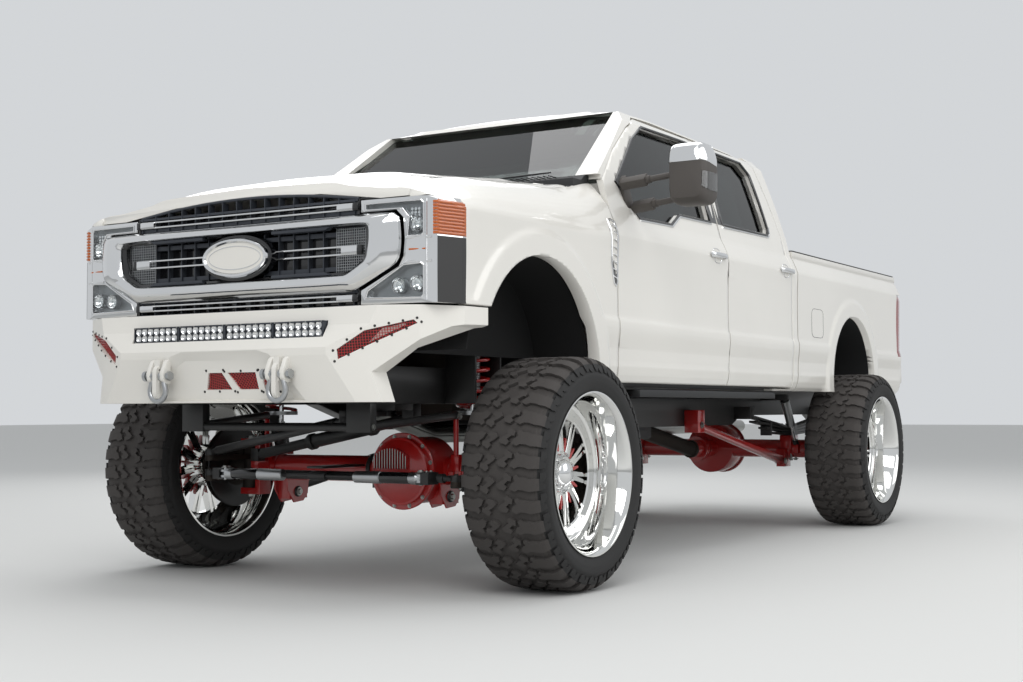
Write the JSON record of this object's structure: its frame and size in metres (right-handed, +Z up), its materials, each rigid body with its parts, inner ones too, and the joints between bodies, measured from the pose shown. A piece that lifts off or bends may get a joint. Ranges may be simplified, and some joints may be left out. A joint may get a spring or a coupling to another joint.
{
  "type": "pickup truck",
  "caption": "Lifted crew-cab four-wheel-drive pickup truck with a short load bed, steel front bumper with light bar, large off-road tyres, steering and opening doors, hood and tailgate.",
  "frame": {"origin": "on the floor, midway along the truck's length and width", "axes": "-Y towards the truck's front, +X towards its left side, +Z up"},
  "size_m": [2.86, 6.415, 2.3619],
  "materials": {
    "body_paint": "gloss pearl white",
    "red_paint": "gloss red",
    "chassis_paint": "satin black",
    "chrome": "polished",
    "dark_plastic": "satin",
    "tinted_glass": "tinted",
    "clear_lens": "clear",
    "red_lens": "gloss",
    "tyre": "matt",
    "polished_aluminium": "polished",
    "steel": "satin",
    "cast_iron": "as cast",
    "seat_leather": "matt",
    "trim_plastic": "matt"
  },
  "bodies": {
    "truck": {"bed": "body_paint", "cab_back": "body_paint", "cab_floor": "chassis_paint", "cab_glass": "tinted_glass", "coil_springs": "red_paint", "crossmembers": "chassis_paint", "dashboard": "trim_plastic", "exhaust": "steel", "fenders": "body_paint", "firewall": "chassis_paint", "frame_brackets": "chassis_paint", "frame_rails": "chassis_paint", "front_axle": "red_paint", "front_bumper": "body_paint", "front_links": "chassis_paint", "front_structure": "chassis_paint", "fuel_tank": "chassis_paint", "grille": "dark_plastic", "grille_surround": "chrome", "headlamps": "clear_lens", "hinges": "chassis_paint", "leaf_springs": "chassis_paint", "light_bar": "clear_lens", "pillars": "body_paint", "powertrain": "cast_iron", "rear_axle": "red_paint", "rear_bumper": "chrome", "roof": "body_paint", "seats": "seat_leather", "shocks": "steel", "side_steps": "chassis_paint", "tail_lamps": "red_lens", "traction_bars": "red_paint"},
    "door_front_left": {"door_front_left": "body_paint", "glass_front_left": "tinted_glass", "mirror_left": "dark_plastic"},
    "door_rear_left": {"door_rear_left": "body_paint", "glass_rear_left": "tinted_glass"},
    "knuckle_left": {"knuckle_left": "chassis_paint"},
    "wheel_front_left": {"wheel_front_left": "polished_aluminium", "tyre_front_left": "tyre"},
    "wheel_rear_left": {"wheel_rear_left": "polished_aluminium", "tyre_rear_left": "tyre"},
    "door_front_right": {"door_front_right": "body_paint", "glass_front_right": "tinted_glass", "mirror_right": "dark_plastic"},
    "door_rear_right": {"door_rear_right": "body_paint", "glass_rear_right": "tinted_glass"},
    "knuckle_right": {"knuckle_right": "chassis_paint"},
    "wheel_front_right": {"wheel_front_right": "polished_aluminium", "tyre_front_right": "tyre"},
    "wheel_rear_right": {"wheel_rear_right": "polished_aluminium", "tyre_rear_right": "tyre"},
    "hood": {"hood": "body_paint"},
    "tailgate": {"tailgate": "body_paint"},
    "tie_rod": {"tie_rod": "chassis_paint", "steering_dampers": "chassis_paint"},
    "damper_rods": {"damper_rods": "chrome"},
    "drag_link": {"drag_link": "chassis_paint"},
    "pitman_arm": {"pitman_arm": "chassis_paint"}
  },
  "joints": [
    {"name": "steer_left", "type": "hinge", "parent": "truck", "child": "knuckle_left", "pos_m": [0.7, -2.1725, 0.5], "axis": [0, 0, 1], "range_deg": [-30, 30]},
    {"name": "steer_right", "type": "hinge", "parent": "truck", "child": "knuckle_right", "pos_m": [-0.7, -2.1725, 0.5], "axis": [0, 0, 1], "range_deg": [-30, 30]},
    {"name": "wheel_front_left_spin", "type": "hinge", "parent": "knuckle_left", "child": "wheel_front_left", "pos_m": [1.026, -2.1725, 0.5], "axis": [1, 0, 0], "continuous": true},
    {"name": "wheel_front_right_spin", "type": "hinge", "parent": "knuckle_right", "child": "wheel_front_right", "pos_m": [-1.026, -2.1725, 0.5], "axis": [1, 0, 0], "continuous": true},
    {"name": "wheel_rear_left_spin", "type": "hinge", "parent": "truck", "child": "wheel_rear_left", "pos_m": [1.026, 1.8865, 0.5], "axis": [1, 0, 0], "continuous": true},
    {"name": "wheel_rear_right_spin", "type": "hinge", "parent": "truck", "child": "wheel_rear_right", "pos_m": [-1.026, 1.8865, 0.5], "axis": [1, 0, 0], "continuous": true},
    {"name": "door_front_left_swing", "type": "hinge", "parent": "truck", "child": "door_front_left", "pos_m": [0.99, -1.4675, 1.325], "axis": [0, 0, -1], "range_deg": [0, 65]},
    {"name": "door_rear_left_swing", "type": "hinge", "parent": "truck", "child": "door_rear_left", "pos_m": [0.99, -0.1375, 1.325], "axis": [0, 0, -1], "range_deg": [0, 65]},
    {"name": "door_front_right_swing", "type": "hinge", "parent": "truck", "child": "door_front_right", "pos_m": [-0.99, -1.4675, 1.325], "axis": [0, 0, 1], "range_deg": [0, 65]},
    {"name": "door_rear_right_swing", "type": "hinge", "parent": "truck", "child": "door_rear_right", "pos_m": [-0.99, -0.1375, 1.325], "axis": [0, 0, 1], "range_deg": [0, 65]},
    {"name": "hood_lift", "type": "hinge", "parent": "truck", "child": "hood", "pos_m": [0, -1.7725, 1.825], "axis": [-1, 0, 0], "range_deg": [0, 55]},
    {"name": "tailgate_drop", "type": "hinge", "parent": "truck", "child": "tailgate", "pos_m": [0, 2.9875, 1.195], "axis": [-1, 0, 0], "range_deg": [0, 90]},
    {"name": "tie_rod_pivot", "type": "hinge", "parent": "knuckle_left", "child": "tie_rod", "pos_m": [0.7, -2.4625, 0.48], "axis": [0, 0, 1], "range_deg": [-30, 30]},
    {"name": "damper_slide", "type": "slide", "parent": "tie_rod", "child": "damper_rods", "axis": [1, 0, 0], "range_m": [-0.15, 0.15]},
    {"name": "drag_link_pivot", "type": "hinge", "parent": "knuckle_right", "child": "drag_link", "pos_m": [-0.7, -2.4625, 0.575], "axis": [0, 0, 1], "range_deg": [-30, 30]},
    {"name": "pitman_turn", "type": "hinge", "parent": "truck", "child": "pitman_arm", "pos_m": [0.305, -2.4325, 0.76], "axis": [0, 0, 1], "range_deg": [-30, 30]}
  ],
  "couplings": [
    {"joint": "steer_right", "follows": "steer_left", "ratio": 1},
    {"joint": "tie_rod_pivot", "follows": "steer_left", "ratio": -1},
    {"joint": "damper_slide", "follows": "steer_left", "m_per_rad": -0.277},
    {"joint": "drag_link_pivot", "follows": "steer_left", "ratio": -1},
    {"joint": "pitman_turn", "follows": "steer_left", "ratio": 1}
  ]
}
